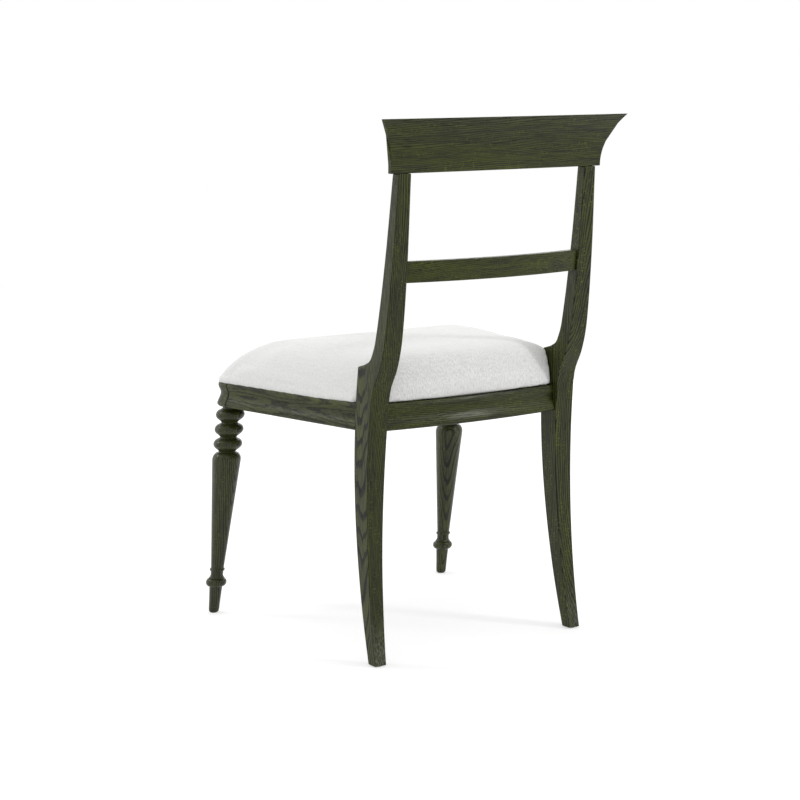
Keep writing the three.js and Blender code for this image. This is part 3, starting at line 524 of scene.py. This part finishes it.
fitted(front_leg_right, "front_leg_turned_right",
       stained_oak("stained_oak_turned_right", heart=(-282, -376), lean=0.01, seed=15.0, turn=along_shaft,
                   ring=2.9, flecks=0.3, coat=0.25),
       "stained_oak", "front_leg_right")

# Crest rail.
# One wide oak board, sawn to a roll that leans back, thin at its top edge. Its ends overhang the posts and
# are hollowed. It sits on top of the posts on two dowels each.
crest_bottom = post_top + joint_gap
crest_overhang = 12.6
crest_hollow_radius = 128
crest_setback = 1.5
crest_bow_radius = 4200
crest_roll_radius = 120
crest_thickness_middle = 17.5
crest_thickness_end = 10.5
crest_thickness_top = 6.5
crest_edge = 1.0


def crest_half_width(rise):
    return (leg_outer(post_top) + crest_overhang + crest_hollow_radius
            - math.sqrt(crest_hollow_radius ** 2 - rise ** 2))


def crest_back(x, rise):
    post_x = (leg_outer(post_top) + leg_inner(post_top)) / 2
    return (post_back_at_top - crest_setback + (post_x ** 2 - x ** 2) / (2 * crest_bow_radius)
            + rise ** 2 / (2 * crest_roll_radius))


def crest_thickness(x, rise):
    end = crest_half_width(rise)
    past = min(max((abs(x) - leg_outer(post_top)) / (end - leg_outer(post_top)), 0), 1)
    lower = crest_thickness_middle + (crest_thickness_end - crest_thickness_middle) * past
    return lower + (crest_thickness_top - lower) * rise / crest_height


def crest_rail_at(share):
    back, front = [], []
    for rise in evenly(0, chair_height - crest_bottom, count=28):
        x = share * crest_half_width(rise)
        back.append((x, crest_back(x, rise), crest_bottom + rise))
        front.append((x, crest_back(x, rise) - crest_thickness(x, rise), crest_bottom + rise))
    return back + front[::-1]


crest_shares = (evenly(-1, -0.8, count=10) + evenly(-0.8, 0.8, count=50)[1:]
                + evenly(0.8, 1, count=10)[1:])
crest_rail = formed([crest_rail_at(share) for share in crest_shares])
eased(crest_rail, crest_edge)
fitted(crest_rail, "crest_rail_rolled",
       stained_oak("stained_oak_crest", heart=(1130, 232), lean=0.03, seed=21.0, turn=grain_along_x,
                   ring=3.0, contrast=0.75),
       "stained_oak", "crest_rail")

# Back slat.
# A narrow oak slat, bowed to the rear and tenoned into the posts half-way up the back.
slat_top = post_top - 145
slat_bottom = slat_top - 36
slat_thickness = 16
slat_setback = 4.5
slat_bow = 23
slat_edge = 1.3


def slat_back(x, height):
    slat_reach = leg_inner((slat_top + slat_bottom) / 2)
    return leg_back(height) - slat_setback + slat_bow * (1 - (x / slat_reach) ** 2)


def back_slat_at(share):
    row = []
    for height, depth in ((slat_bottom, slat_thickness), (slat_bottom, 0), (slat_top, 0),
                          (slat_top, slat_thickness)):
        x = share * (leg_inner(height) - joint_gap)
        row.append((x, slat_back(x, height) - depth, height))
    return row


back_slat = formed([back_slat_at(share) for share in evenly(-1, 1, count=60)])
eased(back_slat, slat_edge)
fitted(back_slat, "back_slat_bowed",
       stained_oak("stained_oak_slat", heart=(905, 206), lean=0.03, seed=25.0, turn=grain_along_x,
                   ring=3.0, contrast=0.6),
       "stained_oak", "back_slat")

# Corner blocks and dowels.
# Triangular beech blocks are glued and screwed into the inner corners of the seat frame, and beech dowels
# hold each joint. They stay as sawn, pale and dry, with fine short flecks in the grain.
beech, tree = blank_material("sawn_beech")


def streaks(tree, scale, detail):
    """Noise with its own scale in each direction, for streaks along the grain, in counts to the metre."""
    stretched = add(tree, "Mapping", {
        "Vector": add(tree, "TexCoord").outputs["Object"], "Scale": scale})
    return add(tree, "TexNoise", {"Vector": stretched, "Scale": 1.0, "Detail": detail})


# The flecks are about 1 mm wide and 8 mm long, and the bands of darker wood 6 mm and 80 mm
flecks = streaks(tree, (120, 900, 900), 2.0)
bands = streaks(tree, (12, 160, 160), 3.0)
add(tree, "OutputMaterial", {"Surface": add(tree, "BsdfPrincipled", {
    "Base Color": add(tree, "Mix", {
        0: add(tree, "ValToRGB", (flecks,), stops=((0.56, 0.0), (0.7, 0.6))),
        6: add(tree, "ValToRGB", (bands,), stops=((0.3, srgb("b98f60")), (0.7, srgb("d2ad7c")))),
        7: srgb("8f6238")}, data_type="RGBA"),
    "Normal": add(tree, "Bump", {"Strength": 0.2, "Distance": 0.0003, "Height": flecks}),
    "Roughness": 0.65, "IOR": 1.5})})


def dress(word, material):
    """Gives a material to the model's own pieces that have a word in their name."""
    for name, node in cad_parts.items():
        if word in name:
            node.material_slots[0].material = material


dress("corner_block", beech)
dress("dowel", beech)

# Screws.
# Countersunk wood screws of zinc-plated steel hold the corner blocks to the rails and the seat to the blocks.
# The plating is a clouded, pale grey metal.
zinc, tree = blank_material("zinc_plated_steel")
cloudy = add(tree, "TexNoise", {
    "Vector": add(tree, "TexCoord").outputs["Object"], "Scale": 900.0, "Detail": 3.0})
add(tree, "OutputMaterial", {"Surface": add(tree, "BsdfPrincipled", {
    "Base Color": add(tree, "ValToRGB", (cloudy,), stops=((0.35, srgb("a9abad")), (0.65, srgb("c9cbcc")))),
    "Metallic": 1.0,
    "Roughness": add(tree, "ValToRGB", (cloudy,), stops=((0.3, 0.28), (0.7, 0.42)))})})
dress("screw", zinc)

# Upholstered seat.
# Off-white linen is pulled over foam and stapled under the board, notched round the posts at the back, so the
# seat is domed, steep at the rear with a soft edge above, and rounded at its sides and in front.
cushion_base = seat_rail_top + joint_gap
cushion_height = 81.3
crown_middle = 109.4
crown_fullness = 7.5
rim_inset = 0.4
foot_inset = 1.8
seat_voxel = 5.0
swell_cap = 2.0
swell_frames = 20
stapled_height = 4
post_clearance = 1.2


def seat_plan(inset):
    """Level outline of the seat, drawn in from the top edge of the rails."""
    out = cove_top_out - inset

    def side_x(y):
        return side_waist(y) + out * side_secant
    rear_corner = side_x(rear_waist_at_legs)
    rear = [(share * rear_corner, rear_waist(share * rear_corner) + out)
            for share in evenly(-1, 1, count=24)]
    arc = corner_arc(out)
    side = [(side_x(y), y) for y in evenly(rear[-1][1], arc[0][1], count=24)[1:-1]]
    front = [(x, front_waist - out) for x in evenly(arc[-1][0], -arc[-1][0], count=24)[1:-1]]
    half = side + arc
    return rear + half + front + [(-x, y) for x, y in reversed(half)]


def turned_into(low, high, value):
    """Goes smoothly from 0 at low to 1 at high."""
    t = min(max((value - low) / (high - low), 0), 1)
    return t * t * (3 - 2 * t)


# Forms of the cushion at the rear, at the sides and in front, and the shares of the seat's depth over which
# its sides turn into its front and its rear
cushion_walls = (22.7, 11.9, 8)
cushion_roundings = (7.7, 39.7, 6.6)
cushion_fullness = (9.6, 12, 6.5)
turn_from_front = (0.066, 0.311)
turn_to_rear = (0.823, 0.974)


def cushion_rise(y, share):
    """Height of the cushion at a share of the way from its crown out to the rim, for a rim point at y."""
    along = (y + front_reach) / (rear_waist_at_legs + front_reach)
    rear = turned_into(*turn_to_rear, along)
    front = 1 - turned_into(*turn_from_front, along)
    wall, rounding, fullness = (
        rear * at_rear + (1 - rear - front) * at_side + front * in_front
        for at_rear, at_side, in_front in (cushion_walls, cushion_roundings, cushion_fullness))
    dome = cushion_height - wall - rounding
    return wall + rounding * (1 - share ** fullness) + dome * (1 - share ** crown_fullness)


def settled(piece):
    """Applies the modifiers so far, so that the mesh is what they make of it."""
    shape = piece.evaluated_get(bpy.context.evaluated_depsgraph_get())
    piece.data = bpy.data.meshes.new_from_object(shape)
    piece.modifiers.clear()


rim = seat_plan(rim_inset)
seat_rows = [[(x, y, cushion_base) for x, y in seat_plan(foot_inset)]]
seat_rows += [[(x, y, cushion_base + rise * cushion_rise(y, 1)) for x, y in rim] for rise in (0.4, 0.7, 1)]
seat_rows += [
    [(x * share, crown_middle + (y - crown_middle) * share, cushion_base + cushion_rise(y, share))
     for x, y in rim]
    for share in (0.985, 0.965, 0.94, 0.91, 0.87, 0.82, 0.76, 0.69, 0.6, 0.5, 0.38, 0.25, 0.12, 0.03)]
cover = as_object(formed(seat_rows), "seat_cover_linen")

# Both the cover and the board are notched round the posts
notch = bmesh.new()
for side in (-1, 1):
    corner = bmesh.ops.create_cube(notch, size=1)["verts"]
    low = Vector((leg_inner(seat_rail_top) - post_clearance, leg_front(seat_rail_top) - post_clearance,
                  rail_bottom))
    high = Vector((front_half_width, post_back_at_top, post_top))
    bmesh.ops.scale(notch, verts=corner, vec=high - low)
    bmesh.ops.translate(notch, verts=corner, vec=(low + high) / 2)
    bmesh.ops.scale(notch, verts=corner, vec=(side, 1, 1))
bmesh.ops.recalc_face_normals(notch, faces=notch.faces)
notches = as_object(notch, "post_notches")


def notched(piece):
    cut = piece.modifiers.new("notches", "BOOLEAN")
    cut.operation = "DIFFERENCE"
    cut.object = notches
    cut.solver = "EXACT"
    settled(piece)


notched(cover)
remesh = cover.modifiers.new("cloth grid", "REMESH")
remesh.mode = "VOXEL"
remesh.voxel_size = seat_voxel
settled(cover)

# The simulation runs in metres, with the cloth held along its stapled lower edge
rest = [vert.co.copy() for vert in cover.data.vertices]
for vert in cover.data.vertices:
    vert.co = vert.co / 1000
held = cover.vertex_groups.new(name="stapled")
held.add([vert.index for vert in cover.data.vertices if vert.co.z * 1000 < cushion_base + stapled_height],
         1.0, "ADD")
cloth = cover.modifiers.new("linen", "CLOTH")
cloth.settings.use_pressure = True
cloth.settings.uniform_pressure_force = 4
cloth.settings.effector_weights.gravity = 0
cloth.settings.quality = 6
cloth.settings.tension_stiffness = 25
cloth.settings.compression_stiffness = 25
cloth.settings.bending_stiffness = 2
cloth.settings.vertex_group_mass = "stapled"
cloth.point_cache.frame_start = 1
cloth.point_cache.frame_end = swell_frames
for step in range(1, swell_frames + 1):
    bpy.context.scene.frame_set(step)
settled(cover)
bpy.context.scene.frame_set(1)
for vert, start in zip(cover.data.vertices, rest):
    moved = vert.co * 1000 - start
    if moved.length > swell_cap:
        moved = moved.normalized() * swell_cap
    vert.co = start + moved
cover.vertex_groups.clear()
seat = bmesh.new()
seat.from_mesh(cover.data)
bpy.data.objects.remove(cover)


def smoothed(verts, times):
    for step in range(times):
        bmesh.ops.smooth_vert(seat, verts=verts, factor=0.5, use_axis_x=True, use_axis_y=True,
                              use_axis_z=True)


smoothed(seat.verts, 2)

# At the sides and in front the full edge swells out and hangs a little over the top edge of the rails. The
# hang runs out towards the posts.
edge_height = 14
edge_band = 9
edge_reach = 0.5
edge_swell = 1.3
edge_hang = 3.4
underside_rise = 3.5
hang_rear_end = 128
hang_full_before = 20
arc_radius = corner_radius + cove_top_out
arc_middle_y = front_waist - cove_top_out + arc_radius
arc_middle_x = side_waist(arc_middle_y) + (cove_top_out - arc_radius) * side_secant
side_way = Vector((1, side_slope)).normalized()


def past_rim(x, y):
    """How far a place lies outside the top edge of the frame, and the way out from there."""
    reach = Vector((x - arc_middle_x, y - arc_middle_y))
    if reach.x < 0 and reach.y < 0:
        return -reach.y - arc_radius, Vector((0, -1))
    if reach.y * side_way.x > reach.x * side_way.y:
        return reach.dot(side_way) - arc_radius, side_way
    return reach.length - arc_radius, reach.normalized()


edge = [vert for vert in seat.verts
        if vert.co.z < cushion_base + edge_height + 1 and vert.co.y < hang_rear_end
        and past_rim(abs(vert.co.x), vert.co.y)[0] > -edge_band]
smoothed(edge, 10)
seat.normal_update()
for vert in edge:
    rise = vert.co.z - cushion_base
    past, way = past_rim(abs(vert.co.x), vert.co.y)
    if rise < edge_height:
        fullness = edge_reach + edge_swell * turned_into(1, 7, rise)
        drawn_out = turned_into(13, 8, rise) * turned_into(-0.95, -0.7, vert.normal.z) * (fullness - past)
        vert.co.x += math.copysign(way.x * drawn_out, vert.co.x)
        vert.co.y += way.y * drawn_out
        flat_rise = max(rise - underside_rise, 0) * edge_height / (edge_height - underside_rise)
        hang = (edge_hang * turned_into(hang_rear_end, hang_full_before, vert.co.y)
                * turned_into(edge_height, 3, rise))
        vert.co.z = cushion_base + flat_rise - hang

# Linen: a plain weave of uneven, slubby yarn, off-white and matt. The real threads are about 0.8 mm apart;
# they are drawn at 2 mm, so that they show from a step away. They show most at the rear, where the cloth is
# slack, and least where it is pulled smooth over the crown.
linen, tree = blank_material("woven_linen")


def yarn(scale, offset):
    """Noise in threads, stretched by its own scale in each direction."""
    stretched = add(tree, "Mapping", {
        "Vector": add(tree, "TexCoord").outputs["Object"], "Scale": scale,
        "Location": (offset, offset, offset)})
    return add(tree, "TexNoise", {"Vector": stretched, "Scale": 1.0, "Detail": 2.0, "Roughness": 0.6})


weave = add(tree, "Math", (yarn((60, 60, 560), 9.0), 0.3, yarn((560, 560, 150), 0.0)),
            operation="MULTIPLY_ADD")
weave = add(tree, "MapRange", {"Value": weave, "From Min": 0.43, "From Max": 0.87})
facing = add(tree, "SeparateXYZ", (add(tree, "NewGeometry").outputs["Normal"],))
slack = add(tree, "MapRange", {
    "Value": facing.outputs["Y"], "From Min": 0.3, "From Max": 0.85, "To Min": 0.5, "To Max": 0.95})
shown = add(tree, "Math", (weave, 0.5), operation="SUBTRACT")
shown = add(tree, "Math", (shown, slack, 0.5), operation="MULTIPLY_ADD")
threads = add(tree, "Bump", {
    "Strength": add(tree, "Math", (slack, 0.5), operation="MULTIPLY"), "Distance": 0.0006, "Height": weave})
add(tree, "OutputMaterial", {"Surface": add(tree, "BsdfPrincipled", {
    "Base Color": add(tree, "ValToRGB", (shown,), stops=((0.0, srgb("d6d5d3")), (1.0, srgb("f6f6f5")))),
    "Roughness": 0.9, "Normal": threads, "IOR": 1.45, "Sheen Weight": 0.1, "Sheen Roughness": 0.5,
    "Specular IOR Level": 0.25})})
cushion = fitted(seat, "seat_cover_domed", linen, "linen", "seat_cover", "seat_foam")
cushion.modifiers.clear()
finer = cushion.modifiers.new("finer cloth", "SUBSURF")
finer.levels = 1
finer.render_levels = 1

# Seat board and dust cover.
# A birch plywood board, pale with brown glue lines at its edge, carries the foam and is wholly wrapped in the
# linen. A thin black cloth that keeps the dust out is stapled over the opening of the frame, under the board.
# It is pressed from loose fibres, so it is matt and a little mottled.
board_inset = 9
board_bottom = cushion_base + 1.3
board_thickness = 12
plywood, tree = blank_material("birch_plywood")
layers = add(tree, "TexWave", {
    "Vector": add(tree, "TexCoord").outputs["Object"], "Scale": 38.0, "Distortion": 0.6, "Detail": 1.0},
    bands_direction="Z")
face = streaks(tree, (260, 9, 60), 4.0)
add(tree, "OutputMaterial", {"Surface": add(tree, "BsdfPrincipled", {
    "Base Color": add(tree, "Mix", {
        0: add(tree, "ValToRGB", (layers.outputs["Fac"],), stops=((0.45, 0.0), (0.55, 0.35))),
        6: add(tree, "ValToRGB", (face,), stops=((0.3, srgb("c9a878")), (0.7, srgb("dec297")))),
        7: srgb("8a6439")}, data_type="RGBA"),
    "Roughness": 0.7})})
board = as_object(formed([[(x, y, height) for x, y in seat_plan(board_inset)]
                          for height in (board_bottom, board_bottom + board_thickness)]), "board_blank")
notched(board)
bpy.data.objects.remove(notches)
board_mesh = bmesh.new()
board_mesh.from_mesh(board.data)
bpy.data.objects.remove(board)
fitted(board_mesh, "seat_board_plywood", plywood, "plywood", "seat_board")

black_cloth, tree = blank_material("black_nonwoven_cloth")
fibres = add(tree, "TexNoise", {
    "Vector": add(tree, "TexCoord").outputs["Object"], "Scale": 420.0, "Detail": 4.0})
add(tree, "OutputMaterial", {"Surface": add(tree, "BsdfPrincipled", {
    "Base Color": add(tree, "ValToRGB", (fibres,), stops=((0.3, srgb("111112")), (0.7, srgb("2a2a2c")))),
    "Normal": add(tree, "Bump", {"Strength": 0.4, "Distance": 0.0004, "Height": fibres}),
    "Roughness": 0.9, "Sheen Weight": 0.2, "Sheen Roughness": 0.5})})
dress("dust_cover", black_cloth)

# Glides.
# A disc of moulded nylon is nailed under each foot. It is dark grey, with a soft gloss that the floor has
# scuffed.
nylon, tree = blank_material("moulded_nylon")
scuffs_and_painted_highlight = add(tree, "TexNoise", {
    "Vector": add(tree, "TexCoord").outputs["Object"], "Scale": 600.0, "Detail": 3.0})
add(tree, "OutputMaterial", {"Surface": add(tree, "BsdfPrincipled", {
    "Base Color": add(tree, "ValToRGB", (scuffs_and_painted_highlight,), stops=((0.4, srgb("222223")), (0.75, srgb("3a3a3b")))),
    "Roughness": add(tree, "ValToRGB", (scuffs_and_painted_highlight,), stops=((0.3, 0.35), (0.7, 0.6)))})})
dress("glide", nylon)

# Studio.
# A matt white paper sweep in a white room. Soft lamps stand above, in front, to the sitter's left at two
# heights, and behind, where a small one puts the gloss on the flare of the rear rail.
sweep_half_width = 6
sweep_glow = 0.5
room_light = 0.8
floor_mesh = bmesh.new()
bmesh.ops.create_grid(floor_mesh, x_segments=1, y_segments=1, size=sweep_half_width)
floor = as_object(floor_mesh, "floor")


def seen(tree):
    """1 where the room is looked at, straight, in a reflection or through glass, and 0 where it lights."""
    rays = add(tree, "LightPath").outputs
    looked_at = add(tree, "Math", (rays["Is Camera Ray"], rays["Is Transmission Ray"]), operation="MAXIMUM")
    return add(tree, "Math", (looked_at, rays["Is Glossy Ray"]), operation="MAXIMUM")


paper, tree = blank_material("white_paper_sweep")
add(tree, "OutputMaterial", {"Surface": add(tree, "AddShader", (
    add(tree, "BsdfDiffuse", {"Color": srgb("d2d2d2")}),
    add(tree, "Emission", {
        "Color": srgb("ffffff"),
        "Strength": add(tree, "Math", (seen(tree), sweep_glow), operation="MULTIPLY")})))})
floor.data.materials.append(paper)

world = bpy.data.worlds.new("studio")
bpy.context.scene.world = world
world.use_nodes = True
tree = world.node_tree
tree.nodes.clear()
add(tree, "OutputWorld", {"Surface": add(tree, "Background", {
    "Color": srgb("ffffff"),
    "Strength": add(tree, "MapRange", {"Value": seen(tree), "To Min": room_light, "To Max": 1.0})})})


def soft_lamp(name, place, aim, size, power):
    data = bpy.data.lights.new(name, "AREA")
    data.shape = "SQUARE"
    data.size = size
    data.energy = power
    lamp = bpy.data.objects.new(name, data)
    bpy.context.scene.collection.objects.link(lamp)
    direction = Vector(aim) - Vector(place)
    lamp.matrix_world = Matrix.Translation(place) @ direction.to_track_quat("-Z", "Y").to_matrix().to_4x4()


soft_lamp("overhead_softbox", place=(0, -0.5, 2.8), aim=(0, 0, 0.45), size=0.5, power=8.5)
soft_lamp("front_softbox", place=(-1.5, -2.5, 0.8), aim=(0, 0, 0.6), size=2.0, power=12)
soft_lamp("left_softbox", place=(2.0, -2.0, 1.9), aim=(0, 0, 0.5), size=0.6, power=14)
soft_lamp("rear_softbox", place=(-1.48, 1.89, 1.71), aim=(0, 0.2, 0.42), size=0.3, power=16)
soft_lamp("low_left_softbox", place=(1.9, -2.2, 0.6), aim=(0.2, 0.2, 0.6), size=0.8, power=4)

# Camera.
# It stands behind the chair and to the sitter's left, a little above the crest rail.
picture_pixels = 800
focal_pixels = 2068.93
eye_height = 1005.11
turn = 0.60903
distance = 3692.2
yaw = turn - 0.00713
pitch = 0.1585
roll = -0.00708
forward = Vector((-math.sin(yaw) * math.cos(pitch), -math.cos(yaw) * math.cos(pitch), -math.sin(pitch)))
level = Vector((-math.cos(yaw), math.sin(yaw), 0))
above = level.cross(forward)
right = math.cos(roll) * level + math.sin(roll) * above
up = math.cos(roll) * above - math.sin(roll) * level
lens = bpy.data.cameras.new("camera")
lens.sensor_width = 36
lens.lens = focal_pixels / picture_pixels * lens.sensor_width
lens.clip_end = 50
camera = bpy.data.objects.new("camera", lens)
bpy.context.scene.collection.objects.link(camera)
camera.matrix_world = Matrix((
    (right.x, up.x, -forward.x, math.sin(turn) * distance / 1000),
    (right.y, up.y, -forward.y, (math.cos(turn) * distance + depth_shift) / 1000),
    (right.z, up.z, -forward.z, eye_height / 1000),
    (0, 0, 0, 1)))
bpy.context.scene.camera = camera
bpy.context.scene.view_settings.view_transform = "Standard"
